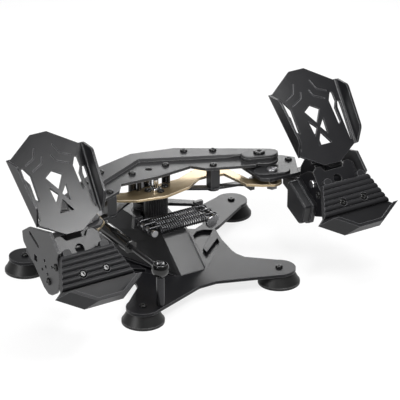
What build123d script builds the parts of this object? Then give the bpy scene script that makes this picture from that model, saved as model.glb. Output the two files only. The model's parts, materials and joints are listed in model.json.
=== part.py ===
from build123d import *
import os
from math import cos, hypot, pi, radians, sin, sqrt

# Rudder pedal set, in millimetres. +X is to the pilot's right, +Y away from the pilot, +Z up.
# A place along Y is given as its distance behind the line of the front feet.

# Feet and base
FRONT_FOOT_Y = -72.4
FRONT_FOOT_SPACING = 194.0
REAR_FOOT_SPACING = 302.0
FOOT_ROW_GAP = 193.0
FOOT_RADIUS = 26.0
FOOT_TOP_RADIUS = 18.5
FOOT_RIM = 3.0
FOOT_HEIGHT = 16.0
LOBE_RADIUS = 20.5
BASE_THICKNESS = 4.0
UNDERPLATE_THICKNESS = 1.5
SCREW_RADIUS = 2.4
SCREW_HEAD_RADIUS = 4.6
SCREW_HEAD_HEIGHT = 2.6
SCREW_CLEARANCE = 0.1

# Hood over the electronics and the housing of both shafts
HOOD_TOP = 57.0
HOOD_SHOULDER = 40.0
HOOD_WALL = 2.0
HOOD_REAR = 196.0
HOUSING_RADIUS = 15.0
HOUSING_WALL = 3.0
HOUSING_TOP = 92.0
NECK_RADIUS = 10.0
NECK_TOP = 84.0
RIB_GROOVES = 15
RIB_GROOVE_RADIUS = 1.1

# Parallel linkage: a beam behind and a link in front, joined by a carrier at each end
MAIN_SHAFT_BACK = 160.0
LINK_OFFSET = 29.5
ARM_REACH = 134.0
ARM_END_BACK = 103.0
MAIN_SHAFT_RADIUS = 6.0
MAIN_SHAFT_HEAD = 11.0
FRONT_SHAFT_RADIUS = 7.0
BEARING_WIDTH = 5.0
BEARING_FIT = 0.02
MAIN_BEARING_RADIUS = 8.0
FRONT_BEARING_RADIUS = 11.0
PIVOT_RADIUS = 5.0
BUSH_RADIUS = 7.0
PIVOT_BOSS = 9.0
PIVOT_CLEARANCE = 0.05
OPEN_PIVOT_RADIUS = 4.0
OPEN_PIVOT_CLEARANCE = 0.3
FACE_GAP = 0.3

# Levels of the stacked plates
BOTTOM_PLATE_Z = 86.0
BOTTOM_PLATE_THICKNESS = 3.0
LINK_Z = 96.0
LINK_THICKNESS = 3.2
CARRIER_Z = 106.5
CARRIER_THICKNESS = 4.0
FLANGE_Z = 114.0
FLANGE_THICKNESS = 4.0
TOP_PLATE_THICKNESS = 4.5
TOP_PLATE_BEVEL = 3.0
ARM_TIP_RADIUS = 18.0
CAP_LENGTH = 46.0
CAP_WIDTH = 21.0
CAP_THICKNESS = 3.0
CAP_ANGLE = -20.0
BAND_HALF = 4.5
BAND_END = 13.0
BEND_X = 74.0
BEND_BACK = 115.0
POST_X = 24.0
POST_BACK = 146.5
POST_RADIUS = 5.0
LINK_HUB_RADIUS = 15.0

# Centring springs, their arms and pins
SPRING_Z = 67.0
SPRING_ROWS = (84.0, 96.0, 108.0)
SPRING_RADIUS = 4.3
SPRING_WIRE = 1.1
SPRING_TURNS = 20
SPRING_PITCH = 3.2
SPRING_MIDDLE = 11.5
LEFT_PIN_X = -33.5
RIGHT_PIN_X = 54.0
PIN_RADIUS = 2.9
HOOK_BEND = 1.8
PIN_LUG_BACK = 116.0
PIN_LUG_DEPTH = 5.0
PIN_FRONT = 78.0
KEEPER_RADIUS = 7.8
KEEPER_X = 47.5
KEEPER_Z = 62.8
KEEPER_THICKNESS = 3.0
SPRING_ARM_THICKNESS = 4.0
SPRING_ARM_HUB = 13.2
LEFT_ARM_Z = 59.0
RIGHT_ARM_Z = 66.0

# Damper
DAMPER_X = -77.0
DAMPER_Z = 67.5
DAMPER_POST_BACK = -7.5
DAMPER_POST_RADIUS = 5.2
DAMPER_STUD_RADIUS = 2.6
DAMPER_BALL_RADIUS = 10.8
DAMPER_BALL_BORE = 5.7
DAMPER_CUP_RADIUS = 8.0
DAMPER_CUP_FLOOR = 71.4
DAMPER_NUT_RADIUS = 4.9
DAMPER_ROD_RADIUS = 3.2
DAMPER_ROD_END = 92.0
DAMPER_BODY_RADIUS = 8.5
DAMPER_BODY_FRONT = 60.0
DAMPER_BODY_REAR = 119.0
DAMPER_BODY_WALL = 2.0
DAMPER_PIN_RADIUS = 3.0
DAMPER_EYE_RADIUS = 7.5
DAMPER_EYE_HALF = 5.0

# Pedals: places across are measured from the pedal's own middle
PEDAL_X = 181.3
PEDAL_LEAN = 42.1
PLATE_BACK = 23.2
PLATE_Z = 150.9
PLATE_THICKNESS = 3.0
PLATE_TOP_HEIGHT = 106.0
PLATE_TOP_HALF = 11.0
PLATE_SIDE_HEIGHT = 78.0
PLATE_HALF_TOP = 52.0
PLATE_SIDE_START = 1.0
PLATE_HALF_BOTTOM = 45.5
PLATE_BOTTOM_HEIGHT = -20.0
PLATE_BOTTOM_HALF = 11.5
WING_BEND = 3.5
WING_HEIGHT = 19.5
WING_CORNER = 9.0
GROOVE_DEPTH = 0.8
GROOVE_WIDTH = 1.6

BRAKE_BACK = 9.5
BRAKE_Z = 115.2
BRAKE_SHAFT_RADIUS = 3.5
BRAKE_HUB_RADIUS = 7.0
BRAKE_HUB_HALF = 26.5
BRAKE_BLADE = (-22.0, -10.0)
BRACKET_DROP = 14.0
BRACKET_SHEET = 2.5
BRACKET_HALF = 30.0
BRACKET_TOP = 27.0
BRACKET_BOTTOM = -34.0
SIDE_PLATE_GAP = 2.0
SIDE_PLATE_THICKNESS = 3.5
SENSOR_BASE_THICKNESS = 5.5
SENSOR_COVER_THICKNESS = 11.0
SENSOR_COVER_WALL = 2.0

TREAD_BACK = -15.5
TREAD_Z = 123.5
TREAD_HALF_TOP = 33.0
TREAD_HALF_BOTTOM = 48.0
TREAD_LENGTH = 40.0
TREAD_THICKNESS = 6.0
RIB_COUNT = 6
RIB_HEIGHT = 2.4
LIP_FLOOR = 4.0
LIP_SHOULDER = 45.5
LIP_SHOULDER_HALF = 57.0
LIP_END = 65.5
LIP_END_HALF = 26.0
LIP_HEIGHT = 20.0
LIP_WALL = 4.0
LIP_LEAN = 9.5

BRAKE_SPRING_BACK = 38.0
BRAKE_SPRING_RADIUS = 6.5
BRAKE_SPRING_WIRE = 1.1
BRAKE_SPRING_TURNS = 6
BRAKE_SPRING_PITCH = 3.4
BRAKE_SHELF_Z = 82.0
BRAKE_SHELF_THICKNESS = 3.0

# Values worked out from the driving dimensions
BASE_TOP = FOOT_HEIGHT + BASE_THICKNESS
FRONT_SHAFT_BACK = MAIN_SHAFT_BACK - LINK_OFFSET
LINK_END_BACK = ARM_END_BACK - LINK_OFFSET
FLANGE_TOP = FLANGE_Z + FLANGE_THICKNESS
BEAM_TOP = FLANGE_TOP + TOP_PLATE_THICKNESS
CARRIER_TOP = CARRIER_Z + CARRIER_THICKNESS
LINK_TOP = LINK_Z + LINK_THICKNESS
BOTTOM_PLATE_TOP = BOTTOM_PLATE_Z + BOTTOM_PLATE_THICKNESS
HOUSING_FLOOR = BASE_TOP + HOUSING_WALL
BRAKE_SHELF_TOP = BRAKE_SHELF_Z + BRAKE_SHELF_THICKNESS
BRAKE_LEVER_Z = BRAKE_SHELF_TOP + BRAKE_SPRING_TURNS * BRAKE_SPRING_PITCH + 2 * BRAKE_SPRING_WIRE + 0.5
SIDE_PLATE_OUTER = BRACKET_HALF + SIDE_PLATE_GAP + SIDE_PLATE_THICKNESS
LEAN_SIN = sin(radians(PEDAL_LEAN))
LEAN_COS = cos(radians(PEDAL_LEAN))

BOTTOM = (Align.CENTER, Align.CENTER, Align.MIN)
nodes = {}


def back(distance):
    """Y of a place that lies this far behind the line of the front feet."""
    return FRONT_FOOT_Y + distance


def both_halves(right):
    """A closed outline from its right half, which runs from one middle point round to the other."""
    return right + [(-x, y) for x, y in reversed(right) if x > 0]


def level(outline):
    """A face from (x, distance back)."""
    return make_face(Polyline(*[(x, back(distance)) for x, distance in outline], close=True))


def plate(outline, bottom, thickness):
    """A level plate. The outline is (x, distance back)."""
    return Pos(0, 0, bottom) * extrude(level(outline), thickness)


def disc(x, distance, bottom, radius, height):
    return Pos(x, back(distance), bottom) * Cylinder(radius, height, align=BOTTOM)


def block(x0, x1, distance0, distance1, z0, z1):
    size = Box(abs(x1 - x0), abs(distance1 - distance0), abs(z1 - z0))
    return Pos((x0 + x1) / 2, back((distance0 + distance1) / 2), (z0 + z1) / 2) * size


def across(x, distance, z):
    """A plane that faces +X. Its own x runs back and its own y runs up."""
    return Plane((x, back(distance), z), x_dir=(0, 1, 0), z_dir=(1, 0, 0))


def upright(outline, inner, outer):
    """A plate that stands along Y between two values of x. The outline is (distance back, z)."""
    face = make_face(Polyline(*[(back(distance), z) for distance, z in outline], close=True))
    return Plane((inner, 0, 0), x_dir=(0, 1, 0), z_dir=(1, 0, 0)) * extrude(face, outer - inner)


def cross_pin(x0, x1, distance, z, radius):
    """A round pin along X."""
    return across(x0, distance, z) * Cylinder(radius, x1 - x0, align=BOTTOM)


def long_pin(x, distance0, distance1, z, radius):
    """A round pin along Y."""
    start = Plane((x, back(distance0), z), x_dir=(-1, 0, 0), z_dir=(0, 1, 0))
    return start * Cylinder(radius, distance1 - distance0, align=BOTTOM)


def oval(x, distance, bottom, thickness):
    """The oval cap over a pivot of the right arm."""
    shape = extrude(SlotOverall(CAP_LENGTH, CAP_WIDTH), thickness)
    return Pos(x, back(distance), bottom) * Rot(0, 0, CAP_ANGLE) * shape


def screw(length, radius=SCREW_RADIUS, head=SCREW_HEAD_RADIUS):
    """A button-head screw with a hexagon socket. Its head stands on z = 0, its shank hangs below."""
    button = Cylinder(head, SCREW_HEAD_HEIGHT, align=BOTTOM)
    button = fillet(button.edges().sort_by(Axis.Z)[-1], SCREW_HEAD_HEIGHT * 0.75)
    button -= Pos(0, 0, SCREW_HEAD_HEIGHT * 0.4) * extrude(RegularPolygon(head * 0.45, 6), SCREW_HEAD_HEIGHT)
    return button + Pos(0, 0, -length) * Cylinder(radius, length, align=BOTTOM)


def standing_screws(places, seat, length):
    return [Pos(x, back(distance), seat) * screw(length) for x, distance in places]


def screw_holes(places, bottom, height):
    return [disc(x, distance, bottom, SCREW_RADIUS + SCREW_CLEARANCE, height) for x, distance in places]


def group(solids):
    return Compound(children=solids)


def mirrored(shape):
    return mirror(shape, about=Plane.YZ)


def both_sides(shape):
    """A right-hand solid and its mirrored twin, as a list."""
    return [shape, mirrored(shape)]


def add(name, shape):
    nodes[name] = shape


def add_pair(name, shape):
    """A piece of the right pedal, and the same piece mirrored for the left pedal."""
    add("right_" + name, shape)
    if isinstance(shape, Compound) and len(shape.solids()) > 1:
        add("left_" + name, group([mirrored(solid) for solid in shape.solids()]))
    else:
        add("left_" + name, mirrored(shape))


# Base and feet
FOOT_PLACES = [
    (FRONT_FOOT_SPACING / 2, 0),
    (-FRONT_FOOT_SPACING / 2, 0),
    (REAR_FOOT_SPACING / 2, FOOT_ROW_GAP),
    (-REAR_FOOT_SPACING / 2, FOOT_ROW_GAP),
]


def foot():
    rim = Cylinder(FOOT_RADIUS, FOOT_RIM, align=BOTTOM)
    cone = Cone(FOOT_RADIUS - 0.6, FOOT_TOP_RADIUS, FOOT_HEIGHT - FOOT_RIM, align=BOTTOM)
    bore = Cylinder(SCREW_RADIUS + SCREW_CLEARANCE, FOOT_HEIGHT, align=BOTTOM)
    return rim + Pos(0, 0, FOOT_RIM) * cone - Pos(0, 0, FOOT_HEIGHT / 2 - 0.5) * bore


def base_plate():
    front = FRONT_FOOT_SPACING / 2
    rear = REAR_FOOT_SPACING / 2
    right = [
        (0, 9),
        (12, 9),
        (front - 3.3, -LOBE_RADIUS),
        (front, 0),
        (113, 12),
        (77, 46),
        (73, 58),
        (73, 70),
        (79, 103),
        (88, 133),
        (97, 137),
        (rear + 14, FOOT_ROW_GAP - 13),
        (rear, FOOT_ROW_GAP),
        (rear - 11, FOOT_ROW_GAP + 17),
        (109, FOOT_ROW_GAP + 7),
        (82, 152),
        (66, 145),
        (56, 152),
        (53, HOOD_REAR + 8),
        (0, HOOD_REAR + 8),
    ]
    shape = plate(both_halves(right), FOOT_HEIGHT, BASE_THICKNESS)
    shape += [disc(x, distance, FOOT_HEIGHT, LOBE_RADIUS, BASE_THICKNESS) for x, distance in FOOT_PLACES]
    tongue = [(44, 82), (46, 94), (84, 131)]
    opening = [(22, 45), (72, 97), (76, 108)] + tongue + [(74, 138), (64, 138), (54, 130), (24, 50)]
    cut = plate(opening, FOOT_HEIGHT - 1, BASE_THICKNESS + 2)
    shape -= both_sides(cut)
    return shape - screw_holes(FOOT_PLACES, FOOT_HEIGHT - 1, BASE_THICKNESS + 2)


def base_underplate():
    right = [(0, 30), (22, 34), (72, 88), (80, 116), (85, 134), (76, 142), (62, 142), (50, 150), (50, 192), (0, 192)]
    return plate(both_halves(right), FOOT_HEIGHT - UNDERPLATE_THICKNESS, UNDERPLATE_THICKNESS)


add("base_plate", base_plate())
add("base_underplate", base_underplate())
add("rubber_feet", group([Pos(x, back(distance), 0) * foot() for x, distance in FOOT_PLACES]))
add("foot_screws", group(standing_screws(FOOT_PLACES, BASE_TOP, BASE_THICKNESS + FOOT_HEIGHT / 2)))


# Hood: a folded sheet cover with a ramp in front, bevels beside the ramp and a shoulder along each side
def convex_solid(points, inset=0.0):
    """The solid whose corners are these points. With an inset, the room inside it, open at the bottom."""
    corners = [Vector(*p) for p in points]
    centre = sum(corners, Vector(0, 0, 0)) * (1 / len(corners))
    reach = 3 * max((corner - centre).length for corner in corners)
    bounds = []
    for i, a in enumerate(corners):
        for j in range(i + 1, len(corners)):
            for k in range(j + 1, len(corners)):
                normal = (corners[j] - a).cross(corners[k] - a)
                if normal.length < 0.01:
                    continue
                normal = normal.normalized()
                if (centre - a).dot(normal) > 0:
                    normal = normal * -1
                limit = a.dot(normal)
                known = any((normal - n).length < 0.001 and abs(limit - other) < 0.01 for n, other in bounds)
                if not known and max(corner.dot(normal) for corner in corners) < limit + 0.001:
                    bounds.append((normal, limit))
    solid = Pos(centre.X, centre.Y, centre.Z) * Box(reach, reach, reach)
    for normal, limit in bounds:
        if inset:
            limit += 1 if normal.Z < -0.99 else -inset
        nearest = centre + normal * (limit - centre.dot(normal))
        solid -= Plane(origin=nearest, z_dir=normal) * Box(3 * reach, 3 * reach, 3 * reach, align=BOTTOM)
    return solid


def hood_form(inset):
    """The hood's outer form, or with an inset the room under its sheet."""
    right = [
        (16.5, 43, BASE_TOP),
        (16.5, 88, HOOD_TOP),
        (22, HOOD_REAR, HOOD_TOP),
        (20, 47, BASE_TOP),
        (38, 119, HOOD_SHOULDER),
        (48, 181, HOOD_SHOULDER),
        (48, HOOD_REAR, HOOD_SHOULDER),
        (56, 148, BASE_TOP),
        (52, HOOD_REAR, BASE_TOP),
    ]
    return convex_solid([(side * x, back(y), z) for x, y, z in right for side in (1, -1)], inset)


SOCKET_Z = BASE_TOP + 12
SOCKET_HALF = 7.0
SOCKET_HALF_HEIGHT = 4.0


def housing_outline(radius, bottom, top):
    """An upright block with round ends that goes round both shafts."""
    middle = MAIN_SHAFT_BACK - LINK_OFFSET / 2
    shape = extrude(SlotOverall(LINK_OFFSET + 2 * radius, 2 * radius), top - bottom)
    return Pos(0, back(middle), bottom) * Rot(0, 0, 90) * shape


def hood():
    shell = hood_form(0) - hood_form(HOOD_WALL)
    shell -= housing_outline(HOUSING_RADIUS + FACE_GAP, BASE_TOP - 1, HOOD_TOP + 1)
    half = SOCKET_HALF + 0.2
    half_height = SOCKET_HALF_HEIGHT + 0.2
    window = block(-half, half, HOOD_REAR - 4, HOOD_REAR + 1, SOCKET_Z - half_height, SOCKET_Z + half_height)
    return shell - window


def shaft_housing():
    """A casting with a ribbed column in front and a plain neck behind, bored for both shafts."""
    shape = housing_outline(HOUSING_RADIUS, BASE_TOP, HOOD_TOP)
    shape += disc(0, FRONT_SHAFT_BACK, HOOD_TOP, HOUSING_RADIUS, HOUSING_TOP - HOOD_TOP)
    shape += disc(0, MAIN_SHAFT_BACK, HOOD_TOP, NECK_RADIUS, NECK_TOP - HOOD_TOP)
    for i in range(RIB_GROOVES):
        angle = pi + pi * (i + 0.5) / RIB_GROOVES
        x = HOUSING_RADIUS * cos(angle)
        distance = FRONT_SHAFT_BACK + HOUSING_RADIUS * sin(angle)
        shape -= disc(x, distance, HOOD_TOP + 4, RIB_GROOVE_RADIUS, HOUSING_TOP - HOOD_TOP - 7)
    shape -= disc(0, MAIN_SHAFT_BACK, HOUSING_FLOOR, MAIN_BEARING_RADIUS, NECK_TOP)
    shape -= disc(0, FRONT_SHAFT_BACK, HOUSING_FLOOR, FRONT_BEARING_RADIUS, HOUSING_TOP)
    return shape


def bearing(distance, bottom, outer, inner):
    ring = disc(0, distance, bottom, outer - BEARING_FIT, BEARING_WIDTH)
    return ring - disc(0, distance, bottom - 1, inner + BEARING_FIT, BEARING_WIDTH + 2)


def shaft_bearings():
    rings = []
    for bottom in (HOUSING_FLOOR, NECK_TOP - BEARING_WIDTH):
        rings.append(bearing(MAIN_SHAFT_BACK, bottom, MAIN_BEARING_RADIUS, MAIN_SHAFT_RADIUS))
    for bottom in (HOUSING_FLOOR, HOUSING_TOP - BEARING_WIDTH):
        rings.append(bearing(FRONT_SHAFT_BACK, bottom, FRONT_BEARING_RADIUS, FRONT_SHAFT_RADIUS))
    return group(rings)


def control_board():
    """The board stands on four pillars under the hood, in front of the shaft housing."""
    board = block(-15, 15, 74, 108, BASE_TOP + 6, BASE_TOP + 7.6)
    board += [disc(x, distance, BASE_TOP, 2.5, 6) for x in (-11, 11) for distance in (78, 104)]
    board += block(-5, 5, 84, 94, BASE_TOP + 7.6, BASE_TOP + 10)
    return board


def usb_socket():
    """The lead's socket, let into the rear of the hood, on its own foot."""
    front = HOOD_REAR - 16
    low = SOCKET_Z - SOCKET_HALF_HEIGHT
    body = block(-SOCKET_HALF, SOCKET_HALF, front, HOOD_REAR, low, low + 2 * SOCKET_HALF_HEIGHT)
    body += block(-SOCKET_HALF, SOCKET_HALF, front, front + 8, BASE_TOP, low)
    return body - block(-5.5, 5.5, HOOD_REAR - 9, HOOD_REAR + 1, SOCKET_Z - 2.6, SOCKET_Z + 2.6)


add("hood", hood())
add("shaft_housing", shaft_housing())
add("shaft_bearings", shaft_bearings())
add("control_board", control_board())
add("usb_socket", usb_socket())


# Springs
def arc_from(start, tangent, end, reach):
    """The arc that leaves start along tangent and ends at end. Both end tangents are reach long where they meet."""
    chord_middle = (start + end) * 0.5
    rise = start + tangent * reach - chord_middle
    half_chord = (end - start).length / 2
    height = half_chord * (reach - half_chord) / rise.length
    return ThreePointArc(start, chord_middle + rise.normalized() * height, end)


def two_arcs(start, tangent, end, end_tangent):
    """Two arcs that leave start along tangent and reach end along end_tangent."""
    chord = end - start
    a = 2 * (1 - tangent.dot(end_tangent))
    b = chord.dot(tangent + end_tangent)
    reach = (sqrt(b * b + a * chord.dot(chord)) - b) / a
    near = start + tangent * reach
    far = end - end_tangent * reach
    joint = (near + far) * 0.5
    return [arc_from(start, tangent, joint, reach), arc_from(joint, (far - near).normalized(), end, reach)]


def coil_arcs(place, angle, turns):
    """The arcs of a coil that starts at this angle. place(angle) gives a point and a tangent."""
    arcs = []
    for half in range(2 * turns):
        arcs += two_arcs(*place(angle + pi * half), *place(angle + pi * (half + 1)))
    return arcs


def wire_tube(edges, radius, start, direction):
    section = Plane(origin=start, z_dir=direction) * Circle(radius)
    return sweep(section, path=Wire(edges))


def least_gap(edges, radius):
    """The least gap between stretches of a wire that are more than four diameters apart along it."""
    points = []
    for edge in edges:
        count = max(2, round(edge.length / 0.8))
        points += [edge.position_at(i / count) for i in range(count)]
    travel = [0.0]
    for a, b in zip(points, points[1:]):
        travel.append(travel[-1] + (b - a).length)
    nearest = min(
        (points[i] - points[j]).length
        for i in range(len(points))
        for j in range(i + 1, len(points))
        if travel[j] - travel[i] > 8 * radius
    )
    return nearest - 2 * radius


def spring_place(angle):
    """A point and tangent of the centring spring's coil, which lies along X about the origin."""
    rise = SPRING_PITCH / (2 * pi)
    scale = hypot(SPRING_RADIUS, rise)
    x = rise * (angle - pi / 2) - SPRING_PITCH * SPRING_TURNS / 2
    point = Vector(x, SPRING_RADIUS * cos(angle), SPRING_RADIUS * sin(angle))
    return point, Vector(rise, -SPRING_RADIUS * sin(angle), SPRING_RADIUS * cos(angle)) * (1 / scale)


def hook_points(pin):
    """The runs of the right-hand hook: a small bend, a straight, three eighths of a turn more than a half, a straight."""
    start, tangent = spring_place(pi / 2 + 2 * pi * SPRING_TURNS)
    side = Vector(-tangent.Y, tangent.X, 0)
    centre = start + side * HOOK_BEND
    bend_end = centre + Vector(0, -HOOK_BEND, 0)
    bend_middle = centre - (side + Vector(0, 1, 0)).normalized() * HOOK_BEND
    over = Vector(pin, bend_end.Y, SPRING_RADIUS)
    axis = Vector(pin, bend_end.Y, 0)
    middle = axis + Vector(cos(-pi / 8), 0, sin(-pi / 8)) * SPRING_RADIUS
    end = axis + Vector(-sqrt(0.5), 0, -sqrt(0.5)) * SPRING_RADIUS
    tip = end + Vector(-sqrt(0.5), 0, sqrt(0.5)) * (2.2 * SPRING_WIRE)
    return [(start, bend_middle, bend_end), (bend_end, over), (over, middle, end), (end, tip)]


def run_edge(points):
    return Line(*points) if len(points) == 2 else ThreePointArc(*points)


def centring_spring():
    right = hook_points(RIGHT_PIN_X - SPRING_MIDDLE)
    turned = hook_points(SPRING_MIDDLE - LEFT_PIN_X)
    left = [tuple(Vector(-p.X, -p.Y, p.Z) for p in reversed(run)) for run in reversed(turned)]
    edges = [run_edge(run) for run in left]
    edges += coil_arcs(spring_place, pi / 2, SPRING_TURNS)
    edges += [run_edge(run) for run in right]
    print("centring spring: least gap between its turns", round(least_gap(edges, SPRING_WIRE), 2), "mm")
    first = left[0]
    return wire_tube(edges, SPRING_WIRE, first[0], (first[1] - first[0]).normalized())


def brake_place(angle):
    """A point and tangent of the brake spring's coil, which stands on the origin."""
    rise = BRAKE_SPRING_PITCH / (2 * pi)
    scale = hypot(BRAKE_SPRING_RADIUS, rise)
    point = Vector(BRAKE_SPRING_RADIUS * cos(angle), BRAKE_SPRING_RADIUS * sin(angle), rise * angle)
    return point, Vector(-BRAKE_SPRING_RADIUS * sin(angle), BRAKE_SPRING_RADIUS * cos(angle), rise) * (1 / scale)


def brake_spring():
    start, direction = brake_place(0)
    end, end_direction = brake_place(2 * pi * BRAKE_SPRING_TURNS)
    run = 2.2 * BRAKE_SPRING_WIRE
    first = start - direction * run
    edges = [Line(first, start)] + coil_arcs(brake_place, 0, BRAKE_SPRING_TURNS)
    edges.append(Line(end, end + end_direction * run))
    print("brake spring: least gap between its turns", round(least_gap(edges, BRAKE_SPRING_WIRE), 2), "mm")
    return wire_tube(edges, BRAKE_SPRING_WIRE, first, direction)


def spring_arm(hub_z, outline, lug_x, lug_low, lug_half):
    """A hub round the housing's neck, an arm and an upright lug that holds the spring pin."""
    arm = disc(0, MAIN_SHAFT_BACK, hub_z - 1, SPRING_ARM_HUB, SPRING_ARM_THICKNESS + 2)
    arm += plate(outline, hub_z, SPRING_ARM_THICKNESS)
    arm += block(
        lug_x - lug_half, lug_x + lug_half, PIN_LUG_BACK, PIN_LUG_BACK + PIN_LUG_DEPTH, lug_low, SPRING_Z + lug_half
    )
    arm -= disc(0, MAIN_SHAFT_BACK, hub_z - 2, NECK_RADIUS, SPRING_ARM_THICKNESS + 4)
    return arm - long_pin(lug_x, PIN_LUG_BACK - 1, PIN_LUG_BACK + PIN_LUG_DEPTH + 1, SPRING_Z, PIN_RADIUS)


def left_spring_arm():
    outline = [(-8, 150), (-30, 128), (-27, 116), (-40, 116), (-40, 122), (-12, 164)]
    return spring_arm(LEFT_ARM_Z, outline, LEFT_PIN_X, LEFT_ARM_Z, 6.0)


def right_spring_arm():
    outline = [(6, 150), (46, 122), (48, 116), (60, 116), (60, 123), (12, 164)]
    return spring_arm(RIGHT_ARM_Z, outline, RIGHT_PIN_X, SPRING_Z - 6, 6.0)


def spring_pins():
    end = PIN_LUG_BACK + PIN_LUG_DEPTH
    left = long_pin(LEFT_PIN_X, PIN_FRONT, end, SPRING_Z, PIN_RADIUS)
    left += long_pin(LEFT_PIN_X, PIN_FRONT - 1.5, PIN_FRONT, SPRING_Z, PIN_RADIUS + 1.4)
    front = PIN_FRONT - KEEPER_THICKNESS
    right = long_pin(RIGHT_PIN_X, front, end, SPRING_Z, PIN_RADIUS)
    right += long_pin(RIGHT_PIN_X, front + 0.5, PIN_FRONT, SPRING_Z, PIN_RADIUS + 1.4)
    keeper = long_pin(KEEPER_X, front, PIN_FRONT, KEEPER_Z, KEEPER_RADIUS)
    return group([left, right + chamfer(keeper.edges().sort_by(Axis.Y)[0], 0.6)])


add("left_spring_arm", left_spring_arm())
add("right_spring_arm", right_spring_arm())
add("spring_pins", spring_pins())
one_spring = centring_spring()
add("centring_springs", group([Pos(SPRING_MIDDLE, back(row), SPRING_Z) * one_spring for row in SPRING_ROWS]))


# Damper: a ball with a cup for its nut, a rod and a cylinder
def damper_post():
    shoulder = DAMPER_Z - sqrt(DAMPER_BALL_RADIUS**2 - DAMPER_BALL_BORE**2) - FACE_GAP
    post = disc(DAMPER_X, DAMPER_POST_BACK, BASE_TOP, DAMPER_POST_RADIUS, shoulder - BASE_TOP)
    post = chamfer(post.edges().sort_by(Axis.Z)[-1], 0.6)
    return post + disc(DAMPER_X, DAMPER_POST_BACK, shoulder, DAMPER_STUD_RADIUS, DAMPER_CUP_FLOOR + 5 - shoulder)


def damper_nut():
    nut = extrude(RegularPolygon(DAMPER_NUT_RADIUS, 6), 3.4)
    nut -= Pos(0, 0, -1) * Cylinder(DAMPER_STUD_RADIUS, 6, align=BOTTOM)
    return Pos(DAMPER_X, back(DAMPER_POST_BACK), DAMPER_CUP_FLOOR + FACE_GAP) * nut


def damper_ball():
    ball = Pos(DAMPER_X, back(DAMPER_POST_BACK), DAMPER_Z) * Sphere(DAMPER_BALL_RADIUS)
    ball -= disc(DAMPER_X, DAMPER_POST_BACK, DAMPER_Z - DAMPER_BALL_RADIUS, DAMPER_BALL_BORE, 2 * DAMPER_BALL_RADIUS)
    ball -= disc(DAMPER_X, DAMPER_POST_BACK, DAMPER_CUP_FLOOR, DAMPER_CUP_RADIUS, DAMPER_BALL_RADIUS)
    socket = DAMPER_POST_BACK + DAMPER_BALL_BORE + 0.7
    return ball - long_pin(DAMPER_X, socket, socket + DAMPER_BALL_RADIUS, DAMPER_Z, DAMPER_ROD_RADIUS)


def damper_rod():
    start = DAMPER_POST_BACK + DAMPER_BALL_BORE + 0.7
    return long_pin(DAMPER_X, start, DAMPER_ROD_END, DAMPER_Z, DAMPER_ROD_RADIUS)


def damper_cylinder():
    front = DAMPER_BODY_FRONT
    rear = DAMPER_BODY_REAR
    eye_back = FRONT_SHAFT_BACK
    body = long_pin(DAMPER_X, front, rear, DAMPER_Z, DAMPER_BODY_RADIUS)
    body = chamfer(body.edges().filter_by(GeomType.CIRCLE), 1.0)
    low = DAMPER_Z - DAMPER_EYE_HALF
    body += disc(DAMPER_X, eye_back, low, DAMPER_EYE_RADIUS, 2 * DAMPER_EYE_HALF)
    body += block(DAMPER_X - 5, DAMPER_X + 5, rear - 1, eye_back, low, low + 2 * DAMPER_EYE_HALF)
    body -= disc(DAMPER_X, eye_back, low - 1, DAMPER_PIN_RADIUS + PIVOT_CLEARANCE, 2 * DAMPER_EYE_HALF + 2)
    body -= long_pin(DAMPER_X, front + 4, rear - 4, DAMPER_Z, DAMPER_BODY_RADIUS - DAMPER_BODY_WALL)
    return body - long_pin(DAMPER_X, front - 1, front + 5, DAMPER_Z, DAMPER_ROD_RADIUS + PIVOT_CLEARANCE)


def damper_stud():
    """The pin that hangs from the front link and carries the damper's eye."""
    low = DAMPER_Z - DAMPER_EYE_HALF - FACE_GAP
    high = DAMPER_Z + DAMPER_EYE_HALF + FACE_GAP
    stud = disc(DAMPER_X, FRONT_SHAFT_BACK, low - 2.5, DAMPER_PIN_RADIUS, LINK_Z - low + 2.5)
    stud += disc(DAMPER_X, FRONT_SHAFT_BACK, low - 3, 5, 3)
    return stud + disc(DAMPER_X, FRONT_SHAFT_BACK, high, 4.6, LINK_Z - high)


add("damper_post", damper_post())
add("damper_nut", damper_nut())
add("damper_ball", damper_ball())
add("damper_rod", damper_rod())
add("damper_cylinder", damper_cylinder())

# Rear beam
TOP_SCREWS = [(60, 162), (-60, 162), (92, 144.5), (-92, 144.5)]
POST_SCREWS = [(POST_X, POST_BACK), (-POST_X, POST_BACK), (BEND_X, BEND_BACK), (-BEND_X, BEND_BACK)]


def main_shaft():
    """The beam turns on this shaft. Its wide head fills the space between bottom plate and flange."""
    shaft = disc(0, MAIN_SHAFT_BACK, HOUSING_FLOOR + 0.5, MAIN_SHAFT_RADIUS, BOTTOM_PLATE_TOP - HOUSING_FLOOR - 0.5)
    return shaft + disc(0, MAIN_SHAFT_BACK, BOTTOM_PLATE_TOP, MAIN_SHAFT_HEAD, FLANGE_Z - BOTTOM_PLATE_TOP)


def band(x0, distance0, x1, distance1, half):
    """A straight strip between two places, as a face."""
    run = Vector(x1 - x0, distance1 - distance0).normalized() * half
    return [
        (x0 - run.Y, distance0 + run.X),
        (x0 + run.Y, distance0 - run.X),
        (x1 + run.Y, distance1 - run.X),
        (x1 - run.Y, distance1 + run.X),
    ]


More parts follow.
